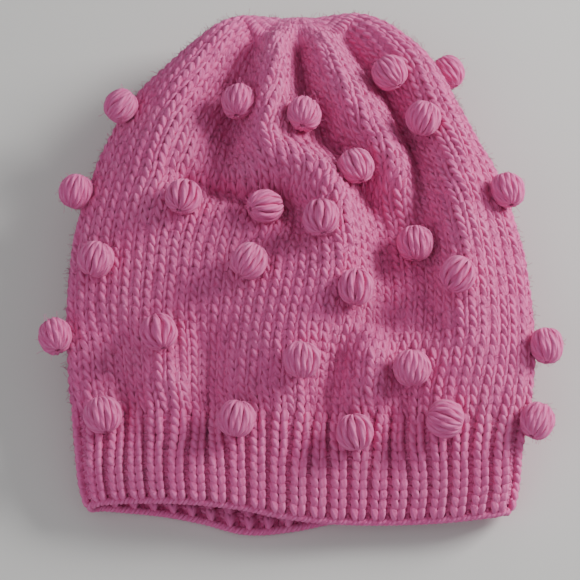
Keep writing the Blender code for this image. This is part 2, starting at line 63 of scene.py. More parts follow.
# ---------------------------------------------------------------------------- node building
class Wire:
    """An output socket that can be used in sums; each operation adds a Math node."""

    def __init__(self, desk: "NodeDesk", socket: Any) -> None:
        """Hold a socket and the tree it belongs to."""
        self.desk, self.socket = desk, socket

    def _math(self, operation: str, *values: Any) -> "Wire":
        """Add one Math node."""
        return self.desk.add("ShaderNodeMath", {"operation": operation}, *values)

    def __add__(self, other: Any) -> "Wire":
        """Sum."""
        return self._math("ADD", self, other)

    __radd__ = __add__

    def __mul__(self, other: Any) -> "Wire":
        """Product."""
        return self._math("MULTIPLY", self, other)

    __rmul__ = __mul__

    def __sub__(self, other: Any) -> "Wire":
        """Difference."""
        return self._math("SUBTRACT", self, other)

    def __rsub__(self, other: Any) -> "Wire":
        """Difference with a plain number on the left."""
        return self._math("SUBTRACT", other, self)

    def __truediv__(self, other: Any) -> "Wire":
        """Quotient."""
        return self._math("DIVIDE", self, other)

    def __pow__(self, other: Any) -> "Wire":
        """Power."""
        return self._math("POWER", self, other)

    def sin(self) -> "Wire":
        """Sine."""
        return self._math("SINE", self)

    def cos(self) -> "Wire":
        """Cosine."""
        return self._math("COSINE", self)

    def fraction(self) -> "Wire":
        """Part after the decimal point."""
        return self._math("FRACT", self)

    def clamp(self, low: float, high: float) -> "Wire":
        """Limit to a range."""
        return self._math("MINIMUM", self._math("MAXIMUM", self, low), high)


class NodeDesk:
    """Builds the nodes of one tree."""

    def __init__(self, tree: Any) -> None:
        """Work on the given node tree."""
        self.tree = tree
        self.column = 0

    def add(self, kind: str, settings: dict[str, Any] | None = None, *values: Any, out: int | str = 0,
            **named: Any) -> Wire:
        """Add a node, set it up and feed its sockets.

        Args:
            kind: the node's type.
            settings: properties set before the sockets are fed.
            values: inputs in order; None leaves a socket alone.
            out: which output to return.
            named: inputs by name, with underscores for spaces.

        Returns:
            The chosen output.
        """
        node = self.tree.nodes.new(kind)
        self.column += 1
        node.location = (190 * (self.column % 12), -230 * (self.column // 12))
        for key, value in (settings or {}).items():
            setattr(node, key, value)
        for index, value in enumerate(values):
            self.feed([s for s in node.inputs if s.enabled][index], value)
        for name, value in named.items():
            wanted = name.replace("_", " ")
            self.feed(next(s for s in node.inputs if s.enabled and s.name == wanted), value)
        if isinstance(out, int):
            return Wire(self, [s for s in node.outputs if s.enabled][out])
        return Wire(self, next(s for s in node.outputs if s.enabled and s.name == out))

    def feed(self, socket: Any, value: Any) -> None:
        """Link a wire to a socket, or set its plain value."""
        if value is None:
            return
        if isinstance(value, Wire):
            self.tree.links.new(value.socket, socket)
        else:
            socket.default_value = value

    def split(self, vector: Wire) -> tuple[Wire, Wire, Wire]:
        """Return the three numbers of a vector."""
        x, y, z = self.add("ShaderNodeSeparateXYZ", None, vector).socket.node.outputs
        return Wire(self, x), Wire(self, y), Wire(self, z)

    def vector(self, x: Wire | float, y: Wire | float, z: Wire | float) -> Wire:
        """Return a vector of three numbers."""
        return self.add("ShaderNodeCombineXYZ", None, x, y, z)

    def blend(self, operation: str, *values: Any, **named: Any) -> Wire:
        """Add one Vector Math node."""
        return self.add("ShaderNodeVectorMath", {"operation": operation}, *values, **named)

    def read(self, name: str, kind: str = "FLOAT") -> Wire:
        """Read an attribute of the geometry."""
        return self.add("GeometryNodeInputNamedAttribute", {"data_type": kind}, name)

    def keep(self, shape: Wire, name: str, value: Wire, kind: str = "FLOAT") -> Wire:
        """Store an attribute on a shape's points and return the shape."""
        return self.add("GeometryNodeStoreNamedAttribute", {"data_type": kind, "domain": "POINT"},
                        shape, None, name, value)

    def noise(self, where: Wire, scale: float, detail: float, roughness: float) -> Wire:
        """Return smooth noise read at a place."""
        return self.add("ShaderNodeTexNoise", {"noise_dimensions": "3D"}, Vector=where, Scale=scale,
                        Detail=detail, Roughness=roughness)


class NodeRecipe:
    """A Geometry Nodes tree with named inputs that are set by their identifiers."""

    def __init__(self, name: str) -> None:
        """Start an empty tree with a geometry input and output."""
        self.tree = bpy.data.node_groups.new(name, "GeometryNodeTree")
        self.tree.interface.new_socket("Geometry", in_out="OUTPUT", socket_type="NodeSocketGeometry")
        self.tree.interface.new_socket("Geometry", in_out="INPUT", socket_type="NodeSocketGeometry")
        self.desk = NodeDesk(self.tree)
        self.identifiers: dict[str, str] = {}
        self.source = self.tree.nodes.new("NodeGroupInput")
        self.result = self.tree.nodes.new("NodeGroupOutput")

    def ask(self, name: str, kind: str = "Float") -> Wire:
        """Add a named input of a kind such as Float, Int, Vector, Object or Material."""
        item = self.tree.interface.new_socket(name, in_out="INPUT", socket_type="NodeSocket" + kind)
        self.identifiers[name] = item.identifier
        return Wire(self.desk, next(s for s in self.source.outputs if s.identifier == item.identifier))

    def asks(self, *names: str) -> list[Wire]:
        """Add several named inputs that each take a plain number."""
        return [self.ask(name) for name in names]

    def chart(self) -> Wire:
        """The geometry that the modifier's object brings."""
        return Wire(self.desk, self.source.outputs[0])

    def skin(self, line: Wire, radius: Wire, sides: Wire, along: Wire, closed: bool) -> Wire:
        """Turn lines into round yarn, and keep where each point lies on it.

        Args:
            line: mesh lines in their final place.
            radius: yarn radius at each point.
            sides: sides of the yarn's section.
            along: how far along its yarn each point is.
            closed: whether each line is a ring.

        Returns:
            The yarn's surface.
        """
        d = self.desk
        curve = d.add("GeometryNodeMeshToCurve", None, d.keep(line, "along", along))
        curve = d.add("GeometryNodeSetCurveRadius", None, curve, None, radius)
        return d.add("GeometryNodeSetShadeSmooth", None, self.tube(curve, sides, 1.0, not closed))

    def tube(self, curve: Wire, sides: Wire | int, radius: Wire | float, capped: bool) -> Wire:
        """Sweep a circle along curves and return the surface; "ring" keeps the circle's points."""
        d = self.desk
        circle = d.add("GeometryNodeCurvePrimitiveCircle", {"mode": "RADIUS"}, sides, Radius=radius)
        circle = d.keep(circle, "ring", d.add("GeometryNodeInputPosition"), "FLOAT_VECTOR")
        node = self.tree.nodes.new("GeometryNodeCurveToMesh")
        d.feed(node.inputs["Curve"], curve)
        d.feed(node.inputs["Profile Curve"], circle)
        d.feed(node.inputs["Fill Caps"], capped)
        if "Scale" in node.inputs:
            d.feed(node.inputs["Scale"], d.add("GeometryNodeInputRadius"))
        return Wire(d, node.outputs[0])

    def fibres(self, ground: Wire, density: Wire, length: Wire, radius: Wire, seed: Wire) -> Wire:
        """Scatter short bent fibres over a surface.

        Args:
            ground: the surface they grow from.
            density: fibres for each square metre.
            length: the usual length.
            radius: the radius of one fibre.
            seed: a whole number that sets where they fall.

        Returns:
            The fibres' surface.
        """
        d = self.desk
        points = d.add("GeometryNodeDistributePointsOnFaces", {"distribute_method": "RANDOM"}, ground,
                       Density=density, Seed=seed)
        facing = Wire(d, next(o for o in points.socket.node.outputs if o.name == "Rotation"))
        fibre = d.add("GeometryNodeCurveQuadraticBezier", None, Resolution=2, Start=(0.0, 0.0, 0.0),
                      Middle=(0.0, 0.0, 0.55), End=(0.5, 0.0, 0.9))
        size = d.add("FunctionNodeRandomValue", {"data_type": "FLOAT"}, Min=0.35, Max=1.35, Seed=seed)
        turn = d.add("FunctionNodeRandomValue", {"data_type": "FLOAT_VECTOR"}, Min=(-1.25, -1.25, 0.0),
                     Max=(1.25, 1.25, TAU), Seed=seed)
        grown = d.add("GeometryNodeInstanceOnPoints", None, points, Instance=fibre, Rotation=facing,
                      Scale=size * length)
        grown = d.add("GeometryNodeRotateInstances", None, grown, Rotation=turn, Local_Space=True)
        real = d.add("GeometryNodeRealizeInstances", None, grown)
        # Fibres that would reach through the floor are laid along it.
        x, y, z = d.split(d.add("GeometryNodeInputPosition"))
        laid = d.add("GeometryNodeSetPosition", None, real, None, d.vector(x, y, z.clamp(FLOOR_GAP, 1.0)))
        even = d.add("GeometryNodeSetCurveRadius", None, laid, None, 1.0)
        return self.tube(even, 3, radius, False)

    def join(self, *shapes: Wire) -> Wire:
        """Return several surfaces as one."""
        node = self.tree.nodes.new("GeometryNodeJoinGeometry")
        for shape in reversed(shapes):
            self.tree.links.new(shape.socket, node.inputs[0])
        return Wire(self.desk, node.outputs[0])

    def finish(self, shape: Wire, dye: Wire) -> None:
        """Realize the shape, dye it and end the tree."""
        real = self.desk.add("GeometryNodeRealizeInstances", None, shape)
        dyed = self.desk.add("GeometryNodeSetMaterial", None, real, None, dye)
        self.desk.feed(self.result.inputs[0], dyed)

    def work(self, name: str, chart: bpy.types.Mesh, settings: dict[str, Any]) -> bpy.types.Mesh:
        """Run the tree on a chart.

        Args:
            name: the name of the new mesh.
            chart: the mesh the tree starts from.
            settings: input values by input name.

        Returns:
            A plain mesh of the result.
        """
        host = bpy.data.objects.new(name + "_host", chart)
        bpy.context.scene.collection.objects.link(host)
        modifier = host.modifiers.new("work", "NODES")
        modifier.node_group = self.tree
        for key, value in settings.items():
            modifier[self.identifiers[key]] = value
        depsgraph = bpy.context.evaluated_depsgraph_get()
        depsgraph.update()
        mesh = bpy.data.meshes.new_from_object(host.evaluated_get(depsgraph), depsgraph=depsgraph)
        mesh.name = name
        host.modifiers.remove(modifier)
        bpy.data.objects.remove(host)
        return mesh


# ---------------------------------------------------------------------------- the fabric's surface
@dataclass(frozen=True)
class Guides:
    """Guide wales in millimetres; the first four points of each belong to the ribbed band."""

    left: Sequence[tuple[float, float, float]] = (
        (-97.5, -104.5, 9), (-100, -94, 13), (-101.8, -80, 18), (-103.8, -64, 21), (-106, -53, 22),
        (-107.6, -38, 23), (-109, -17, 24), (-109, 0, 24), (-107.9, 19, 24), (-105.5, 34, 24),
        (-102, 47, 24.5), (-97.3, 63, 25), (-92, 76.5, 25), (-85, 91.5, 25), (-76, 104, 25),
        (-66.5, 114, 25), (-55, 126, 25), (-43, 135.5, 25), (-30, 141.5, 25), (-18, 142.5, 25),
        (-9, 141, 25), (-5, 136.5, 25))
    right: Sequence[tuple[float, float, float]] = (
        (96.3, -106, 8), (98.6, -96, 11), (100.3, -81, 16), (103.6, -66.5, 20), (106.3, -56, 22),
        (108.3, -41, 23), (108.8, -27, 23.5), (108.3, -13, 24), (107.2, 3, 24), (105.3, 17.5, 24),
        (102.6, 29, 24), (99.3, 43.8, 24), (93.5, 60.8, 24), (86.7, 74, 24.5), (80.5, 86, 25),
        (75, 96, 25), (70.6, 106, 25), (66, 115.5, 25), (58.5, 124.5, 25), (48.5, 133, 25),
        (37, 140, 25), (25, 143, 25), (10, 141.5, 25), (5, 136.5, 25))
    front: Sequence[tuple[float, float, float]] = (
        (0, -108.5, 17), (0, -97, 21), (0, -82, 25), (0, -66, 29), (0, -45, 34), (0, -20, 38),
        (0, 10, 41), (0, 40, 42.5), (0, 70, 43), (0, 92, 42.5), (0, 110, 40.5), (0, 124, 38),
        (0, 134, 34.5), (0, 139.8, 31), (0, 140.5, 29), (0, 136, 28))
    back: Sequence[tuple[float, float, float]] = (
        (0, -111, 3.15), (0, -98, 3.15), (0, -83, 3.35), (0, -66, 5.5), (0, -52, 10.4), (0, -38, 13.4),
        (0, -20, 13.6), (0, 20, 13.6), (0, 60, 13.6), (0, 98, 13.6), (0, 120, 14), (0, 133, 15.8),
        (0, 140, 18.5), (0, 141, 20.3), (0, 136, 21))
    front_edge: Sequence[tuple[float, float]] = (
        (-110, 0), (-92, 2), (-72, 4), (-50, 4.5), (-28, 2.5), (-8, -1.5), (14, -4), (40, -5),
        (66, -4.5), (88, -2.5), (110, 0))
    back_edge: Sequence[tuple[float, float]] = (
        (-110, 0), (-90, 2), (-66, 2.5), (-46, 0.5), (-26, -3.5), (-6, -2), (14, 2), (40, 4.5), (66, 4),
        (88, 2), (110, 0))


@dataclass(frozen=True)
class Folds:
    """Folds of the fabric in millimetres.

    Each is a line of points (x, y, height, width to its left, width to its right), read from the
    crown down, so its left is toward +X.
    """

    front: dict[str, FoldLine] = field(default_factory=lambda: {
        "left valley": ((-20, 148.5, 0, 7, 7), (-21.8, 133, -7, 7, 8), (-25.6, 119, -11, 8, 10),
                        (-30.3, 105, -15, 8, 12), (-33, 91, -17, 9, 13), (-34.8, 75, -16, 9, 14),
                        (-36, 61, -12, 9, 14), (-37.5, 52, -6, 9, 12), (-38.5, 43, 0, 9, 12)),
        "first pleat": ((-8, 148.5, 0, 7, 7), (-8.3, 134, 6, 7, 7), (-10.2, 121, 8, 7, 7),
                        (-12.6, 102, 9, 8, 7), (-15.5, 85, 9, 8, 7), (-17, 69, 9, 8, 7),
                        (-13.5, 60, 8, 8, 8), (-2, 56, 9, 8, 10), (10, 49, 10, 7, 12),
                        (18, 36, 11, 7, 14), (20.5, 20, 11, 7, 16), (17, 4, 9, 7, 17),
                        (13, -12, 7, 7, 16), (9, -30, 4, 9, 14), (7, -54, 0, 10, 12)),
        "middle valley": ((-1.3, 148.5, 0, 6, 6), (-1.3, 134, -7, 6.5, 6.5), (-0.4, 119, -11, 7, 7),
                          (1.6, 102, -14, 8, 8), (6, 85.5, -15, 9, 8.5), (13.3, 72, -14, 10, 8.5),
                          (22, 64, -13, 10.5, 9), (28.2, 53, -12, 10.5, 9), (32, 40, -9, 9, 8),
                          (33.5, 24, 0, 9, 7)),
        "second pleat": ((7, 148.5, 0, 8, 7), (7, 133, 5, 8, 7), (11, 116.5, 7, 9, 7),
                         (17.5, 99.5, 8, 10, 7), (25.5, 83, 8, 10, 8), (35.2, 69, 8, 10, 8),
                         (43.5, 57.5, 8, 9, 9), (49, 45, 6, 8, 9), (52, 32, 0, 7, 9)),
        "right valley": ((19, 148.5, 0, 7, 7), (19.2, 135, -5, 7, 7), (29, 120, -9, 7, 7),
                         (39.6, 105, -12, 7, 8), (48, 91, -14, 8, 8), (54.6, 75, -14, 7, 9),
                         (58.8, 58, -14, 7, 9), (60.5, 37, -12, 7, 10), (62.4, 16.4, -11, 7, 11),
                         (63.3, -4, -9, 7, 12), (61.6, -24, -5, 8, 12), (59.4, -39, 0, 9, 12)),
        "trough": ((38, 52, 0, 12, 12), (41, 40, -8, 14, 12), (42, 21.5, -13, 14, 12),
                   (42, 1, -14, 14, 12), (42, -19, -9, 14, 12), (42.6, -42, 0, 14, 12)),
        "right panel": ((26, 148.5, 0, 9, 9), (27, 137, 4, 9, 9), (40, 129, 6, 10, 9),
                        (53.7, 114.6, 7, 10, 9), (64, 97, 7, 11, 9), (71, 75, 7, 11, 9),
                        (74.3, 50.5, 7, 12, 8), (76.6, 24, 7, 12, 8), (78, -4, 6, 13, 9),
                        (77.5, -29, 4, 14, 11), (75, -54, 0, 14, 13)),
        "left panel": ((-28, 148.5, 0, 8, 8), (-28, 136, 5, 8, 8), (-37, 127.5, 6, 9, 9),
                       (-47, 113.5, 6, 10, 10), (-56.4, 97, 6, 11, 12), (-62.4, 80, 6, 12, 14),
                       (-67.7, 62, 5, 14, 16), (-71.7, 37, 3, 16, 18), (-76, 11, 0, 18, 20)),
        "crease": ((3, 12, 0, 8, 7), (1, 21, -7, 9, 7), (-2, 30, -10, 9, 7), (-12, 37, -14, 9, 7),
                   (-26, 40, -14, 9, 7), (-41, 44, -12, 9, 7), (-55, 49, -8, 9, 7), (-68, 55, 0, 9, 8)),
        "dome": ((-8, 14, 0, 18, 18), (-9, -8, 5, 18, 18), (-9, -35, 6, 18, 18), (-9, -60, 3, 17, 17),
                 (-10, -80, 0, 17, 17)),
        "band left": ((-50, -64, 0, 26, 26), (-52, -84, 1.5, 28, 28), (-52, -104, 4, 28, 28),
                      (-52, -126, 4.5, 28, 28)),
        "band right": ((46, -70, 0, 30, 36), (47, -90, -2, 32, 40), (47, -104, -4, 34, 40),
                       (47, -126, -4.5, 34, 40)),
        "low valley a": ((49.5, -32, 0, 10, 10), (47.5, -51, -6, 10, 10), (45.4, -66, -8, 10, 10),
                         (43.7, -80, -6, 10, 10), (42.5, -98, 0, 10, 10)),
        "low valley b": ((18, -25, 0, 7, 7), (16.4, -41.5, -6, 8, 8), (13, -58.7, -8, 8, 8),
                         (10, -76, -6, 9, 9), (8.3, -94, 0, 9, 9)),
        "low valley c": ((-43, -18, 0, 9, 9), (-42.5, -37, -6, 9, 9), (-42.5, -56, -8, 9, 9),
                         (-43.8, -74, -6, 9, 9), (-44.4, -90, 0, 9, 9)),
        "low valley d": ((-89, -16, 0, 10, 10), (-85, -37, -6, 10, 10), (-82, -53, -6, 10, 10),
                         (-80, -72, -3, 10, 10), (-79, -92, 0, 10, 10)),
        "low ridge": ((32, -20, 0, 7, 7), (33, -39, 5, 7, 7), (33.5, -56, 5, 7, 7), (33, -72, 0, 7, 7)),
        "low ridge left": ((-65, -30, 0, 10, 10), (-63, -52, 4, 10, 10), (-62, -68, 2, 10, 10),
                           (-62, -84, 0, 10, 10)),
    })
    back: dict[str, FoldLine] = field(default_factory=lambda: {
        "back a": ((-30, 150, 0, 7, 7), (-34, 132, -4, 8, 8), (-42, 108, -4, 9, 9), (-48, 82, 0, 9, 9)),
        "back b": ((-9, 151, 0, 7, 7), (-12, 131, -4.5, 8, 8), (-14, 104, -4.5, 9, 9),
                   (-15, 78, 0, 9, 9)),
        "back c": ((13, 151, 0, 7, 7), (15, 131, -4.5, 8, 8), (17, 104, -4.5, 9, 9), (18, 78, 0, 9, 9)),
        "back d": ((32, 150, 0, 7, 7), (38, 131, -4, 8, 8), (46, 106, -4, 9, 9), (52, 82, 0, 9, 9)),
    })


class GuideWale:
    """One wale of the hat, read by course number."""

    RIB_POINTS = 4
    STEPS = 12

    def __init__(self, points: Sequence[tuple[float, float, float]], rib: int, body: int) -> None:
        """Smooth the points and measure the line."""
        self.rib, self.body = rib, body
        self.line = self.rounded(points, self.STEPS) * MM
        self.arc = np.concatenate([[0], np.cumsum(np.linalg.norm(np.diff(self.line, axis=0), axis=1))])
        self.rib_arc = self.arc[(self.RIB_POINTS - 1) * self.STEPS]

    @staticmethod
    def rounded(points: Sequence[Sequence[float]], steps: int) -> np.ndarray:
        """Return a smooth line through the points."""
        p = np.asarray(points, float)
        p = np.vstack([2 * p[0] - p[1], p, 2 * p[-1] - p[-2]])
        out = []
        for i in range(1, len(p) - 2):
            t = np.linspace(0, 1, steps, endpoint=False)[:, None]
            out.append(0.5 * (2 * p[i] + (p[i + 1] - p[i - 1]) * t
                              + (2 * p[i - 1] - 5 * p[i] + 4 * p[i + 1] - p[i + 2]) * t ** 2
                              + (3 * p[i] - p[i - 1] - 3 * p[i + 1] + p[i + 2]) * t ** 3))
        out.append(p[-2][None, :])
        return np.vstack(out)

    def length_at(self, course: np.ndarray) -> np.ndarray:
        """Return the length along the wale at each course."""
        rib = self.rib_arc * course / self.rib
        body = self.rib_arc + (self.arc[-1] - self.rib_arc) * (course - self.rib) / self.body
        return np.where(course < self.rib, rib, body)

    def at(self, course: np.ndarray) -> np.ndarray:
        """Return the point of the wale at each course; below the first course it runs straight on."""
        s = self.length_at(course)
        point = np.stack([np.interp(s, self.arc, self.line[:, k]) for k in range(3)], -1)
        first = (self.line[0] - self.line[3]) / self.arc[3]
        return point + np.minimum(s, 0)[..., None] * -first


@dataclass
class Cloth:
    """The middle surface of the knitted fabric."""

    stitches: int = 88
    rib_courses: int = 11
    body_courses: int = 53
    cap_half_width: float = 33 * MM
    cap_y: float = 139 * MM
    square_front: float = 2.5
    square_back: float = 3.0
    middle: tuple[float, float, float] = (0.16 * MM, 14.89 * MM, 0.0)
    per_stitch: int = 4
    per_course: int = 4
    margin: float = 2.0
    guides: Guides = field(default_factory=Guides)
    folds: Folds = field(default_factory=Folds)

    def __post_init__(self) -> None:
        """Measure the guide wales and lay the surface out on an even grid."""
        self.last = self.rib_courses + self.body_courses
        self.left, self.right, self.front, self.back = (
            GuideWale(g, self.rib_courses, self.body_courses)
            for g in (self.guides.left, self.guides.right, self.guides.front, self.guides.back))
        self.front_edge, self.back_edge = (
            GuideWale.rounded(e, GuideWale.STEPS).T * MM
            for e in (self.guides.front_edge, self.guides.back_edge))
        self.angle = np.linspace(0, TAU, 720, endpoint=False)
        rows = int((self.last + self.margin) * self.per_course) + 1
        self.courses = np.linspace(-self.margin, self.last, rows)
        grid = self._even(self._folded(self.courses), self.stitches * self.per_stitch)
        along = np.gradient(grid, axis=0)
        around = np.roll(grid, -1, 1) - np.roll(grid, 1, 1)
        out = np.cross(along, around)
        out /= np.linalg.norm(out, axis=-1, keepdims=True)
        self.grid, self.out = grid - np.array(self.middle), out
        self.up = along / np.linalg.norm(along, axis=-1, keepdims=True)

    def _smooth(self, course: np.ndarray) -> tuple[np.ndarray, np.ndarray, np.ndarray]:
        """Return the unfolded rings, their middles and their half widths."""
        left, right = self.left.at(course)[:, None], self.right.at(course)[:, None]
        front, back = self.front.at(course)[:, None], self.back.at(course)[:, None]
        c, s = np.cos(self.angle)[None, :], np.sin(self.angle)[None, :]
        half = (right - left)[..., 0] / 2
        round_top = np.clip((half - 8 * MM) / (30 * MM), 0, 1)
        flat = np.clip(1 - course / (self.rib_courses + 5), 0, 1)[:, None]
        n = 2 + round_top * (np.where(s >= 0, self.square_front, self.square_back) - 2 + 1.4 * flat)
        across = np.sign(c) * np.abs(c) ** (2 / n)
        rise = np.abs(s) ** (2 / n)
        middle, reach = (left + right) / 2, (right - left) / 2
        edge = middle + reach * across[..., None]
        far = np.where((s >= 0)[..., None], front, back)
        shift = np.where(s >= 0, np.interp(edge[..., 0], *self.front_edge),
                         np.interp(edge[..., 0], *self.back_edge))
        shift *= np.clip(1 - course / self.rib_courses, 0, 1)[:, None] * np.clip(np.abs(s) * 2.2, 0, 1)
        y = edge[..., 1] + (far[..., 1] - middle[..., 1]) * (1 - across ** 2) + shift
        z = edge[..., 2] + (far[..., 2] - middle[..., 2]) * rise
        return np.stack([edge[..., 0], y, z], -1), middle[..., 0], half

    def _folded(self, course: np.ndarray) -> np.ndarray:
        """Return the rings with the folds added along the fabric's own normal."""
        rings, middle, half = self._smooth(course)
        along = self._smooth(np.minimum(course + 0.25, self.last))[0] - self._smooth(course - 0.25)[0]
        around = np.roll(rings, -1, 1) - np.roll(rings, 1, 1)
        normal = np.cross(along, around)
        normal /= np.linalg.norm(normal, axis=-1, keepdims=True) + 1e-12
        cap = half < self.cap_half_width
        spread = np.where(cap, self.cap_half_width / np.maximum(half, 1e-6), 1.0)
        fold_x = middle + (rings[..., 0] - middle) * spread
        cap_course = course[np.argmax(cap[:, 0])]
        beyond = np.maximum(self.front.length_at(course) - self.front.length_at(np.array(cap_course)), 0)
        fold_y = np.where(cap, self.cap_y + beyond[:, None] * 0.8, rings[..., 1])
        fade = np.clip(np.abs(np.sin(self.angle))[None, :] * 2.2, 0, 1)
        height = np.where((np.sin(self.angle) > 0)[None, :],
                          self._height(fold_x, fold_y, self.folds.front),
                          self._height(fold_x, fold_y, self.folds.back)) * fade
        return rings + normal * height[..., None]

    @staticmethod
    def _height(x: np.ndarray, y: np.ndarray, folds: dict[str, FoldLine]) -> np.ndarray:
        """Return the height that a set of folds adds at the points (x, y)."""
        total = np.zeros_like(x)
        for line in folds.values():
            best = np.zeros_like(x)
            for (x0, y0, h0, l0, r0), (x1, y1, h1, l1, r1) in zip(line, line[1:]):
                dx, dy = (x1 - x0) * MM, (y1 - y0) * MM
                t = np.clip(((x - x0 * MM) * dx + (y - y0 * MM) * dy) / (dx * dx + dy * dy), 0, 1)
                ex, ey = x - x0 * MM - t * dx, y - y0 * MM - t * dy
                on_left = dx * ey - dy * ex > 0
                width = np.where(on_left, l0 + (l1 - l0) * t, r0 + (r1 - r0) * t) * MM
                rise = (h0 + (h1 - h0) * t) * MM * np.exp(-(ex * ex + ey * ey) / (width * width))
                best = np.where(np.abs(rise) > np.abs(best), rise, best)
            total += best
        return total

    def _even(self, folded: np.ndarray, count: int) -> np.ndarray:
        """Return rings of evenly spaced points, half of them on the front."""
        half = len(self.angle) // 2
        out = np.empty((len(folded), count, 3))
        for i, ring in enumerate(folded):
            for start, slot in ((0, 0), (half, count // 2)):
                part = np.vstack([ring[start:start + half], ring[(start + half) % len(ring)]])
                arc = np.concatenate([[0], np.cumsum(np.linalg.norm(np.diff(part, axis=0), axis=1))])
                s = np.linspace(0, arc[-1], count // 2, endpoint=False)
                for k in range(3):
                    out[i, slot:slot + count // 2, k] = np.interp(s, arc, part[:, k])
        return out

    def at(self, stitch: np.ndarray, course: np.ndarray, grid: np.ndarray | None = None) -> np.ndarray:
        """Read the surface, or another grid over it, at stitch and course numbers.

        Args:
            stitch: stitches round from the right edge, front first.
            course: courses up from the cast-on edge.
            grid: values to read in place of the points.

        Returns:
            One row of three numbers for each place asked for.
        """
        g = self.grid if grid is None else grid
        u = np.mod(np.asarray(stitch, float), self.stitches) * self.per_stitch
        v = np.clip((np.asarray(course, float) + self.margin) * self.per_course, 0, len(g) - 1.001)
        i, j = np.floor(v).astype(int), np.floor(u).astype(int)
        fv, fu = (v - i)[..., None], (u - j)[..., None]
        j, k = j % g.shape[1], (j + 1) % g.shape[1]
        return ((g[i, j] * (1 - fu) + g[i, k] * fu) * (1 - fv)
                + (g[i + 1, j] * (1 - fu) + g[i + 1, k] * fu) * fv)

    def pattern(self) -> bpy.types.Object:
        """Return an object whose mesh is the surface, with a map of stitches and courses on it."""
        rows, count, _ = self.grid.shape
        points = np.concatenate([self.grid, self.grid[:, :1]], 1)
        out = np.concatenate([self.out, self.out[:, :1]], 1)
        wide = count + 1
        r, i = np.meshgrid(np.arange(rows - 1), np.arange(count), indexing="ij")
        corner = (r * wide + i).ravel()
        faces = np.stack([corner, corner + wide, corner + wide + 1, corner + 1], -1)
        mesh = new_mesh("cloth_pattern", points.reshape(-1, 3), faces)
        chart = np.stack(np.meshgrid(np.linspace(0, 1, rows), np.linspace(0, 1, wide), indexing="ij"), -1)
        layer = mesh.attributes.new("loom", "FLOAT_VECTOR", "CORNER")
        flat = np.zeros((rows * wide, 3))
        flat[:, 0], flat[:, 1] = chart[..., 1].ravel(), chart[..., 0].ravel()
        layer.data.foreach_set("vector", flat[faces.ravel()].astype(np.float32).ravel())
        layer = mesh.attributes.new("out", "FLOAT_VECTOR", "POINT")
        layer.data.foreach_set("vector", out.astype(np.float32).ravel())
        item = bpy.data.objects.new("cloth_pattern", mesh)
        bpy.context.scene.collection.objects.link(item)
        return item


def new_mesh(name: str, points: np.ndarray, faces: np.ndarray | None = None,
             edges: np.ndarray | None = None) -> bpy.types.Mesh:
    """Return a mesh of the points with equal-sided faces, or with edges alone."""
    mesh = bpy.data.meshes.new(name)
    mesh.vertices.add(len(points))
    mesh.vertices.foreach_set("co", np.asarray(points, np.float32).ravel())
    if faces is not None:
        sides = faces.shape[1]
        mesh.loops.add(faces.size)
        mesh.loops.foreach_set("vertex_index", faces.astype(np.int32).ravel())
        mesh.polygons.add(len(faces))
        mesh.polygons.foreach_set("loop_start", np.arange(0, faces.size, sides, dtype=np.int32))
    if edges is not None:
        mesh.edges.add(len(edges))
        mesh.edges.foreach_set("vertices", edges.astype(np.int32).ravel())
    mesh.update(calc_edges=faces is not None)
    return mesh


def chart_lines(lines: Iterable[np.ndarray], closed: bool) -> bpy.types.Mesh:
    """Return a mesh of separate lines of points, each one a ring if closed."""
    points, edges, base = [], [], 0
    for line in lines:
        n = len(line)
        i = np.arange(n if closed else n - 1)
        edges.append(np.stack([base + i, base + (i + 1) % n], -1))
        points.append(line)
        base += n
    return new_mesh("chart", np.vstack(points), edges=np.vstack(edges))


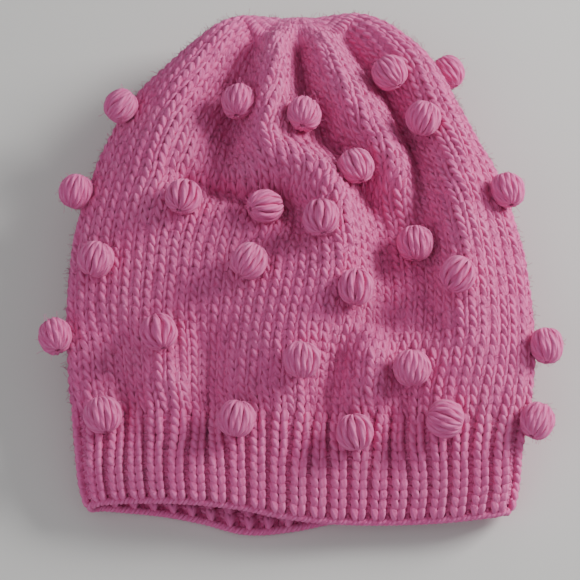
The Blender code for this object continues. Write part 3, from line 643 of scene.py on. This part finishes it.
# ---------------------------------------------------------------------------- finishes
@dataclass(frozen=True)
class YarnFinish:
    """A soft plied yarn: its dye, its fuzz and the furrows between its plies, with painted shade
    darkening the colour in them.
    """

    name: str = "pink_yarn"
    dye: tuple[float, float, float] = (0.87, 0.175, 0.475)
    # The furrow colour is painted shade: a darker colour mixed into the grooves between the plies.
    furrow_shade: tuple[float, float, float] = (0.68, 0.075, 0.27)
    bloom: tuple[float, float, float] = (0.95, 0.30, 0.59)
    plies: float = 3.0
    ply_height: float = 0.00045
    fibre_height: float = 0.00028
    # How strongly the painted shade darkens the grooves between the plies.
    furrow_shade_mix: float = 0.55
    patch_scale: float = 55.0
    fibre_scale: float = 2600.0
    sheen: float = 0.22
    sheen_tint: tuple[float, float, float] = (1.0, 0.62, 0.84)

    def material(self) -> bpy.types.Material:
        """Return the material, built as nodes.

        Returns:
            A material that reads the yarn's own "ring" and "along" attributes.
        """
        made = bpy.data.materials.new(self.name)
        made.use_nodes = True
        tree = made.node_tree
        tree.nodes.clear()
        d = NodeDesk(tree)
        here = d.add("ShaderNodeTexCoord", None, out="Object")
        ring = d.add("ShaderNodeAttribute", {"attribute_name": "ring"}, out="Vector")
        along = d.add("ShaderNodeAttribute", {"attribute_name": "along"}, out="Fac")
        rx, ry, _ = d.split(ring)
        theta = d.add("ShaderNodeMath", {"operation": "ARCTAN2"}, ry, rx)
        ply = (theta * self.plies + along * TAU).cos()
        crest = ply * 0.5 + 0.5
        # Painted shade: the colour darkens towards the grooves between the plies, where shade would fall.
        groove_shade = (1.0 - crest) ** 2.2
        patch = d.noise(here, self.patch_scale, 3.0, 0.6)
        fine = d.noise(here, self.fibre_scale, 2.0, 0.7)
        bloom = ((patch - 0.42) * 2.4).clamp(0.0, 1.0)
        colour = d.add("ShaderNodeMix", {"data_type": "RGBA"}, bloom * 0.45 + (fine - 0.5) * 0.3,
                       (*self.dye, 1.0), (*self.bloom, 1.0))
        # Mix the painted groove shade into the yarn's colour.
        colour = d.add("ShaderNodeMix", {"data_type": "RGBA"}, groove_shade * self.furrow_shade_mix, colour,
                       (*self.furrow_shade, 1.0))
        bump = d.add("ShaderNodeBump", None, Strength=1.0, Distance=1.0,
                     Height=crest * self.ply_height + fine * self.fibre_height)
        shader = tree.nodes.new("ShaderNodeBsdfPrincipled")
        d.feed(shader.inputs["Base Color"], colour)
        d.feed(shader.inputs["Roughness"], 0.86 + (fine - 0.5) * 0.16)
        d.feed(shader.inputs["Normal"], bump)
        shader.inputs["Specular IOR Level"].default_value = 0.25
        shader.inputs["Sheen Weight"].default_value = self.sheen
        shader.inputs["Sheen Roughness"].default_value = 0.45
        shader.inputs["Sheen Tint"].default_value = (*self.sheen_tint, 1.0)
        output = tree.nodes.new("ShaderNodeOutputMaterial")
        tree.links.new(shader.outputs[0], output.inputs[0])
        made.diffuse_color = (*self.dye, 1.0)
        return made


@dataclass(frozen=True)
class FloorFinish:
    """A plain pale studio floor."""

    colour: tuple[float, float, float] = (0.74, 0.735, 0.725)

    def material(self) -> bpy.types.Material:
        """Return the material."""
        made = bpy.data.materials.new("studio_floor")
        made.use_nodes = True
        shader = made.node_tree.nodes["Principled BSDF"]
        shader.inputs["Base Color"].default_value = (*self.colour, 1.0)
        shader.inputs["Roughness"].default_value = 0.9
        return made


# ---------------------------------------------------------------------------- the knitting
class Fabric(Enum):
    """The ways the courses are worked."""

    RIB = 1.0
    STOCKINETTE = 0.0


@dataclass
class Knitting:
    """Works charted courses of yarn onto the cloth."""

    cloth: Cloth
    material: bpy.types.Material
    points_per_stitch: int = 16
    sides: int = 6
    yarn_radius: float = 1.52 * MM
    loop_height: float = 0.86
    lean: float = 0.21
    skew: float = 0.085
    depth: float = 0.95 * MM
    roll: float = 0.35 * MM
    rib_depth: float = 1.0 * MM
    rib_pull: float = 0.56
    rib_end: float = 14.0
    rib_fade: float = 5.5
    uneven: float = 0.16
    seed: float = 3.7
    twist: float = 2.0
    fuzz_lift: float = 1.3 * MM
    fuzz_density: float = 80000.0
    fuzz_length: float = 3.6 * MM
    fuzz_radius: float = 0.08 * MM

    def __post_init__(self) -> None:
        """Build the recipe and lay out the cloth it is worked on."""
        self.recipe = self._recipe()
        self.pattern = self.cloth.pattern()

    def _recipe(self) -> NodeRecipe:
        """Return the tree that turns chart lines into rows of interlocking loops."""
        r = NodeRecipe("worked_courses")
        d = r.desk
        cloth = r.ask("Cloth", "Object")
        stitches, span, margin, height, lean, skew, depth, roll = r.asks(
            "Stitches", "Span", "Margin", "Loop Height", "Lean", "Skew", "Depth", "Roll")
        rib, rib_depth, rib_pull, rib_end, rib_fade = r.asks(
            "Rib", "Rib Depth", "Rib Pull", "Rib End", "Rib Fade")
        uneven, seed, radius, twist = r.asks("Unevenness", "Seed", "Yarn Radius", "Twist")
        sides, dye = r.ask("Sides", "Int"), r.ask("Dye", "Material")

        place = d.add("GeometryNodeInputPosition")
        stitch, course, _ = d.split(place)
        angle = stitch * TAU
        turn = stitch * TAU / stitches
        orbit = stitches / TAU
        where = d.vector(turn.cos() * orbit, turn.sin() * orbit, course * 1.7 + seed)
        slow = d.noise(where, 0.55, 1.0, 0.5) - 0.5
        quick = d.noise(where, 1.9, 1.0, 0.5) - 0.5
        wave = (stitch * math.pi).cos()
        swing = (wave * 1.7).clamp(-1.0, 1.0)
        # The rib's ups and downs die away over the last courses of the band and the first above it.
        band = ((rib_end - course) / rib_fade).clamp(0.0, 1.0)
        u = (stitch + lean * (angle * 2.0).sin() + skew * angle.cos()
             + band * rib_pull * (stitch * math.pi).sin() / math.pi + uneven * slow)
        v = course + height * angle.cos() * (1.0 + uneven * quick * 1.5) + uneven * quick * 1.2
        face = 1.0 - rib + rib * swing
        out = (roll * angle.sin() * (1.0 - rib) - depth * (angle * 2.0).cos() * face
               + band * rib_depth * swing + depth * uneven * quick * 3.0)

        loom = d.vector((u / stitches).fraction(), ((v + margin) / span).clamp(0.0005, 0.9995), 0.0)
        surface = d.add("GeometryNodeObjectInfo", {"transform_space": "ORIGINAL"}, cloth, out="Geometry")
        at, away = (
            d.add("GeometryNodeSampleUVSurface", {"data_type": "FLOAT_VECTOR"}, surface, value,
                  d.read("loom", "FLOAT_VECTOR"), loom)
            for value in (place, d.read("out", "FLOAT_VECTOR")))
        lift = d.blend("SCALE", d.blend("NORMALIZE", away), Scale=out)
        kept = d.keep(r.chart(), "turns", stitch * twist)
        # The yarn is plumper along its free legs than where it is nipped behind the next course.
        plump = (angle * 2.0).cos() * -0.5 + 0.5
        swell = 0.86 + 0.2 * plump + rib * (0.34 * plump - 0.08) + 0.5 * uneven * slow
        kept = d.keep(kept, "thick", radius * swell)
        moved = d.add("GeometryNodeSetPosition", None, kept, None, d.blend("ADD", at, lift))
        r.finish(r.skin(moved, d.read("thick"), sides, d.read("turns"), True), dye)
        return r

    def courses(self, name: str, first: int, last: int, fabric: Fabric) -> bpy.types.Object:
        """Work a band of courses.

        Args:
            name: the piece's name.
            first: its first course.
            last: the course after its last one.
            fabric: how it is worked.

        Returns:
            The finished piece.
        """
        steps = np.arange(0, self.cloth.stitches, 1 / self.points_per_stitch)
        lines = [np.stack([steps, np.full_like(steps, row + 0.5), 0 * steps], -1)
                 for row in range(first, last)]
        mesh = self.recipe.work(name, chart_lines(lines, True), {
            "Cloth": self.pattern, "Stitches": float(self.cloth.stitches),
            "Span": float(self.cloth.last + self.cloth.margin), "Margin": self.cloth.margin,
            "Loop Height": self.loop_height, "Lean": self.lean, "Skew": self.skew,
            "Depth": self.depth, "Roll": self.roll, "Rib": fabric.value, "Rib Depth": self.rib_depth,
            "Rib Pull": self.rib_pull, "Rib End": self.rib_end, "Rib Fade": self.rib_fade,
            "Unevenness": self.uneven, "Seed": self.seed, "Yarn Radius": self.yarn_radius,
            "Sides": self.sides, "Twist": self.twist, "Dye": self.material})
        return finished(name, mesh)

    def fuzz(self, name: str, seed: int) -> bpy.types.Object:
        """Grow loose fibres off the outside of the fabric and return them as one piece."""
        r = NodeRecipe("loose_fibres")
        d = r.desk
        lift, density, length, edge, radius = r.asks("Lift", "Density", "Length", "Edge", "Radius")
        number, dye = r.ask("Seed", "Int"), r.ask("Dye", "Material")
        out = d.blend("SCALE", d.read("out", "FLOAT_VECTOR"), Scale=lift)
        ground = d.add("GeometryNodeSetPosition", None, r.chart(), None, None, out)
        # None grow below the cast-on edge, where the pattern runs on past the fabric.
        height = d.split(d.read("loom", "FLOAT_VECTOR"))[1]
        grown = ((height - edge) * 500.0).clamp(0.0, 1.0)
        r.finish(r.fibres(ground, density * grown, length, radius, number), dye)
        return finished(name, r.work(name, self.pattern.data, {
            "Lift": self.fuzz_lift, "Density": self.fuzz_density, "Length": self.fuzz_length,
            "Edge": (self.cloth.margin + 0.5) / (self.cloth.last + self.cloth.margin),
            "Radius": self.fuzz_radius, "Seed": seed, "Dye": self.material}))

    def put_away(self) -> None:
        """Remove the pattern once every course is worked."""
        mesh = self.pattern.data
        bpy.data.objects.remove(self.pattern)
        bpy.data.meshes.remove(mesh)


def finished(name: str, mesh: bpy.types.Mesh) -> bpy.types.Object:
    """Return an object of the mesh, linked to the scene."""
    item = bpy.data.objects.new(name, mesh)
    bpy.context.scene.collection.objects.link(item)
    return item


@dataclass
class YarnLine:
    """Lays single lengths of plied yarn along given points."""

    material: bpy.types.Material
    sides: int = 10
    twist_every: float = 8 * MM

    def __post_init__(self) -> None:
        """Build the recipe."""
        r = NodeRecipe("laid_yarn")
        radius, every = r.asks("Yarn Radius", "Twist Every")
        sides, dye = r.ask("Sides", "Int"), r.ask("Dye", "Material")
        r.finish(r.skin(r.chart(), radius, sides, r.desk.read("run") / every, False), dye)
        self.recipe = r

    def lay(self, name: str, lines: Sequence[np.ndarray], radius: float, closed: bool = False,
            ) -> bpy.types.Object:
        """Lay yarn along lines of points.

        Args:
            name: the piece's name.
            lines: the lines, in place.
            radius: the yarn's radius.
            closed: whether each line is a ring.

        Returns:
            The finished piece.
        """
        mesh = chart_lines(lines, closed)
        run = np.concatenate([np.concatenate([[0], np.cumsum(np.linalg.norm(np.diff(p, axis=0), axis=1))])
                              for p in lines])
        layer = mesh.attributes.new("run", "FLOAT", "POINT")
        layer.data.foreach_set("value", run.astype(np.float32))
        return finished(name, self.recipe.work(name, mesh, {
            "Yarn Radius": radius, "Sides": self.sides, "Twist Every": self.twist_every,
            "Dye": self.material}))


# ---------------------------------------------------------------------------- the bobbles
class BobbleLook(Enum):
    """How a bobble's strands lie: opening width, where it opens, and how oval the opening is."""

    PLAIN = (0.0, 0.0, 0.5)
    PARTED = (0.5, 0.1, 0.2)
    PARTED_LEFT = (0.5, -0.6, 0.2)
    RINGED = (0.78, 0.0, 2.0)


@dataclass
class Bobbles:
    """Worked bobbles: soft balls of strands that run from pole to pole."""

    cloth: Cloth
    material: bpy.types.Material
    strands: int = 16
    points: int = 13
    sides: int = 6
    belly: float = 7.3 * MM
    pole: float = 7.6 * MM
    strand_radius: float = 1.62 * MM
    sunk: float = 1.6 * MM
    core: float = 0.93
    last_latitude: float = 84.0
    roundness: float = 0.88
    pressed_roundness: float = 0.62
    pressed_spread: float = 1.12
    pressed_height: float = 12 * MM
    fuzz: float = 34000.0
    fuzz_length: float = 3.2 * MM
    fuzz_radius: float = 0.08 * MM
    tilts: dict[str, float] = field(default_factory=lambda: {
        "a1": 10, "a2": -15, "a3": 8, "a4": 75, "b1": 15, "b2": -8, "b3": 12, "c1": -20, "c2": -25,
        "c3": 5, "c4": -45, "d1": 0, "d2": -50, "d3": 5, "d4": -12, "e1": 20, "e2": -6, "e3": 10,
        "e4": -50, "f2": 5})
    looks: dict[str, BobbleLook] = field(default_factory=lambda: {
        "a3": BobbleLook.PARTED, "b1": BobbleLook.RINGED, "c3": BobbleLook.PARTED_LEFT,
        "c4": BobbleLook.PARTED, "d1": BobbleLook.PARTED, "d2": BobbleLook.PARTED,
        "d3": BobbleLook.PARTED_LEFT})

    def __post_init__(self) -> None:
        """Build the recipe."""
        self.recipe = self._recipe()

    def _recipe(self) -> NodeRecipe:
        """Return the tree that turns a chart of strands into a bobble in its place."""
        r = NodeRecipe("puffed_strands")
        d = r.desk
        strands, belly, pole, flatten, radius, core = r.asks(
            "Strands", "Belly", "Pole", "Flatten", "Strand Radius", "Core")
        width, side, oval, swirl, seed = r.asks(
            "Opening", "Opening Side", "Opening Oval", "Swirl", "Seed")
        fuzz, fuzz_length, fuzz_radius = r.asks("Fuzz", "Fuzz Length", "Fuzz Radius")
        sides, fuzz_seed = r.ask("Sides", "Int"), r.ask("Fuzz Seed", "Int")
        turn, seat, dye = r.ask("Turn", "Vector"), r.ask("Seat", "Vector"), r.ask("Dye", "Material")

        place = d.add("GeometryNodeInputPosition")
        number, climb, _ = d.split(place)
        latitude = climb * math.radians(self.last_latitude)
        waist = latitude.cos()
        round_ = number * TAU / strands
        spread = width * (waist ** oval)
        where = d.vector(round_.cos() * 2.0, round_.sin() * 2.0, climb * 0.7 + seed)
        noise = d.noise(where, 1.3, 2.0, 0.6) - 0.5
        around = round_ + spread * (round_ - side).sin() + swirl * climb + noise * 0.5
        reach = belly * (waist ** 0.78) * (1.0 + noise * 0.24)
        local = d.vector(reach * around.sin(), pole * latitude.sin() * (1.0 + noise * 0.1),
                         reach * around.cos() * flatten)

        def seated(spot: Wire) -> Wire:
            """Turn a place in the bobble's own frame to face out of the fabric, where it stands."""
            turned = d.add("ShaderNodeVectorRotate", {"rotation_type": "EULER_XYZ"}, Vector=spot,
                           Rotation=turn)
            return d.blend("ADD", turned, seat)

        kept = d.keep(r.chart(), "turns", climb * 1.5 + number * 0.37)
        kept = d.keep(kept, "thick", radius * (0.42 + 0.58 * waist) * (1.0 + noise * 0.3))
        moved = d.add("GeometryNodeSetPosition", None, kept, None, seated(local))
        yarn = r.skin(moved, d.read("thick"), sides, d.read("turns"), False)

        # The stuffing that shows between the strands.
        ball = d.add("GeometryNodeMeshIcoSphere", None, Radius=1.0, Subdivisions=3)
        size = d.vector(belly * core, pole * core, belly * core * flatten)
        ball = d.add("GeometryNodeSetPosition", None, ball, None,
                     seated(d.blend("MULTIPLY", place, size)))
        ball = d.add("GeometryNodeSetShadeSmooth", None, ball)
        r.finish(r.join(yarn, ball, r.fibres(yarn, fuzz, fuzz_length, fuzz_radius, fuzz_seed)), dye)
        return r

    def work(self, node: str) -> bpy.types.Object:
        """Make one bobble where its solid stands.

        Args:
            node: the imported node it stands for.

        Returns:
            The finished piece.
        """
        corners = np.array([v.co[:] for v in bpy.data.objects[node].data.vertices])
        centre = (corners.min(0) + corners.max(0)) / 2
        away, up = self._facing(centre)
        low, high = np.array(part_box(node))
        pressed = high[2] - low[2] < self.pressed_height
        place = node.removeprefix("bobble_")
        tilt = self.tilts.get(place, self._tilt(node))
        look = self.looks.get(place, BobbleLook.PLAIN)
        flatten, spread = self.roundness, 1.0
        if pressed:
            away, up = np.array([0.0, 0.0, -1.0]), np.array([0.0, 1.0, 0.0])
            flatten, spread = self.pressed_roundness, self.pressed_spread
        else:
            centre = centre - away * self.sunk
        spin = Matrix.Rotation(math.radians(tilt), 3, Vector(away))
        y = np.array(spin @ Vector(up))
        x = np.cross(y, away)
        basis = Matrix((x, y, away)).transposed()
        opening, side, oval = look.value
        steps = np.linspace(-1, 1, self.points)
        lines = [np.stack([np.full_like(steps, i), steps, 0 * steps], -1) for i in range(self.strands)]
        seed = float(sum(ord(c) * (k + 1) for k, c in enumerate(node)) % 97)
        mesh = self.recipe.work(node + "_yarn", chart_lines(lines, False), {
            "Strands": float(self.strands), "Belly": self.belly * spread,
            "Pole": self.pole, "Flatten": flatten, "Strand Radius": self.strand_radius,
            "Sides": self.sides, "Opening": opening, "Opening Side": side, "Opening Oval": oval,
            "Swirl": 0.25 * math.sin(seed), "Seed": seed, "Core": self.core, "Fuzz": self.fuzz,
            "Fuzz Length": self.fuzz_length, "Fuzz Radius": self.fuzz_radius, "Fuzz Seed": int(seed),
            "Turn": basis.to_euler("XYZ")[:], "Seat": centre.tolist(), "Dye": self.material})
        return finished(node + "_yarn", mesh)

    @staticmethod
    def _tilt(node: str) -> float:
        """Return a fixed tilt in degrees for a bobble with no set look."""
        return 28.0 * math.sin(sum(ord(c) * (k + 2) for k, c in enumerate(node)))

    def _facing(self, centre: np.ndarray) -> tuple[np.ndarray, np.ndarray]:
        """Return the way out of the fabric and the way up it at the place nearest a point."""
        gap = np.linalg.norm(self.cloth.grid - centre, axis=-1)
        near = gap < gap.min() + 5 * MM
        away = centre - self.cloth.grid[near].mean(0)
        away = 0.5 * away / np.linalg.norm(away) + self.cloth.out[near].mean(0)
        away /= np.linalg.norm(away)
        up = self.cloth.up[near].mean(0)
        up -= away * (up @ away)
        return away, up / np.linalg.norm(up)


# ---------------------------------------------------------------------------- the hat
@dataclass
class Beanie:
    """The whole hat."""

    cloth: Cloth
    material: bpy.types.Material
    body_bands: tuple[int, ...] = (11, 22, 33, 44)
    crown_bands: tuple[int, ...] = (44, 54, 63)
    edge_course: float = -0.42
    edge_radius: float = 1.2 * MM
    yarn_radius: float = 1.3 * MM

    def knit(self) -> list[bpy.types.Object]:
        """Work the band, the body and the crown, and return the pieces."""
        knitting = Knitting(self.cloth, self.material)
        rib = knitting.courses("rib_courses", 0, self.cloth.rib_courses, Fabric.RIB)
        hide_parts("rib_band_front", "rib_band_back")
        pieces = [rib]
        for node, bands in (("hat_body", self.body_bands), ("crown", self.crown_bands)):
            for number, (first, last) in enumerate(zip(bands, bands[1:]), 1):
                piece = knitting.courses("%s_courses_%d" % (node, number), first, last,
                                         Fabric.STOCKINETTE)
                if number == 1:
                    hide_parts(node + "_front", node + "_back")
                pieces.append(piece)
        pieces += [knitting.fuzz("fabric_fuzz_%d" % seed, seed) for seed in (1, 2, 3)]
        knitting.put_away()
        return pieces

    def trim(self) -> list[bpy.types.Object]:
        """Lay the cast-on edge, the closing yarn and the two tails, and return the pieces."""
        yarn = YarnLine(self.material)
        s = np.arange(0, self.cloth.stitches, 1 / 8)
        strands = []
        for phase in (0.0, math.pi):
            swing = TAU * s + phase
            base = self.cloth.at(s, np.full_like(s, self.edge_course))
            up, out = self.cloth.at(s, 0 * s, self.cloth.up), self.cloth.at(s, 0 * s, self.cloth.out)
            strands.append(base + up * (0.75 * MM * np.cos(swing))[:, None]
                           + out * (1.05 * MM * np.sin(swing))[:, None])
        edge = yarn.lay("cast_on_loops", strands, self.edge_radius, closed=True)
        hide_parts("cast_on_edge")
        pieces = [edge]
        for node in ("crown_closing_yarn", "closing_tail", "cast_on_tail"):
            item = self._follow(node, yarn)
            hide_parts(node)
            pieces.append(item)
        return pieces

    def _follow(self, node: str, yarn: YarnLine) -> bpy.types.Object:
        """Lay yarn along the middle of a packed length of yarn.

        Args:
            node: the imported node.
            yarn: what lays it.

        Returns:
            The finished piece.
        """
        low, high = (np.array(c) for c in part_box(node))
        centre = (low + high) / 2
        if node == "crown_closing_yarn":
            a = np.linspace(0, TAU, 48, endpoint=False)
            reach = (high - low) / 2 - 1.35 * MM
            line = centre + np.stack([reach[0] * np.cos(a), 0.35 * MM * np.sin(3 * a),
                                      reach[2] * np.sin(a)], -1)
            return yarn.lay(node + "_strand", [line], self.yarn_radius, closed=True)
        points = np.array([v.co[:] for v in bpy.data.objects[node].data.vertices])
        order = points[:, 1]
        cuts = np.linspace(order.min(), order.max(), 14)
        slices = [(order >= a - 1e-4) & (order <= b + 1e-4) for a, b in zip(cuts, cuts[1:])]
        line = [points[chosen].mean(0) for chosen in slices if chosen.any()]
        return yarn.lay(node + "_strand", [GuideWale.rounded(line, 4)], self.yarn_radius)

    def bobbles(self) -> list[bpy.types.Object]:
        """Work every bobble and return the pieces."""
        maker = Bobbles(self.cloth, self.material)
        pieces = []
        for node in sorted(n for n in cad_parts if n.startswith("bobble")):
            piece = maker.work(node)
            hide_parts(node)
            pieces.append(piece)
        return pieces


# ---------------------------------------------------------------------------- the studio
@dataclass
class Studio:
    """The floor, the lights and the camera."""

    elevation: float = 68.0
    distance: float = 0.85
    aim: tuple[float, float, float] = (-0.00496, -0.01689, 0.022)
    lens: float = 109.9
    sky: float = 0.36
    floor_reach: float = 3.0

    def floor(self) -> None:
        """Lay a pale floor under the hat."""
        corners = np.array([(-1, -1, 0), (1, -1, 0), (1, 1, 0), (-1, 1, 0)]) * self.floor_reach
        mesh = new_mesh("floor", corners, np.array([(0, 1, 2, 3)]))
        mesh.materials.append(FloorFinish().material())
        finished("studio_floor", mesh)

    def lamp(self, name: str, place: tuple[float, float, float], size: float, power: float,
             colour: tuple[float, float, float]) -> None:
        """Hang one soft square lamp that faces the hat."""
        light = bpy.data.lights.new(name, "AREA")
        light.size, light.energy, light.color = size, power, colour
        item = bpy.data.objects.new(name, light)
        item.location = place
        item.rotation_euler = (Vector((0, 0, 0.02)) - Vector(place)).to_track_quat("-Z", "Y").to_euler()
        bpy.context.scene.collection.objects.link(item)

    def light(self) -> None:
        """Light from the right, with a weak fill and a pale sky."""
        self.lamp("key", (1.05, 0.42, 0.58), 0.5, 20.0, (1.0, 0.985, 0.96))
        self.lamp("fill", (-0.9, -0.7, 1.1), 1.2, 4.0, (0.95, 0.97, 1.0))
        world = bpy.data.worlds.new("studio")
        world.use_nodes = True
        background = world.node_tree.nodes["Background"]
        background.inputs[0].default_value = (1.0, 1.0, 1.0, 1.0)
        background.inputs[1].default_value = self.sky
        bpy.context.scene.world = world

    def camera(self) -> None:
        """Stand the camera above the band's side of the hat."""
        data = bpy.data.cameras.new("camera")
        data.lens, data.sensor_width = self.lens, 36.0
        data.clip_start, data.clip_end = 0.05, 20.0
        item = bpy.data.objects.new("camera", data)
        tilt = math.radians(self.elevation)
        item.location = Vector(self.aim) + self.distance * Vector((0, -math.cos(tilt), math.sin(tilt)))
        item.rotation_euler = (math.radians(90 - self.elevation), 0, 0)
        bpy.context.scene.collection.objects.link(item)
        bpy.context.scene.camera = item


def main() -> None:
    """Build the hat and its studio."""
    logging.basicConfig(level=logging.INFO, format="%(name)s %(message)s")
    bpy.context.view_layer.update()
    studio = Studio()
    studio.camera()
    studio.light()
    studio.floor()
    hat = Beanie(Cloth(), YarnFinish().material())
    for pieces, slot in ((hat.knit(), "body_fabric"), (hat.trim(), "edge_yarn"),
                         (hat.bobbles(), "bobble_yarn")):
        for piece in pieces:
            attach(piece, "root")
            LOG.info("%s: %d faces", piece.name, len(piece.data.polygons))


if __name__ == "__main__":
    main()
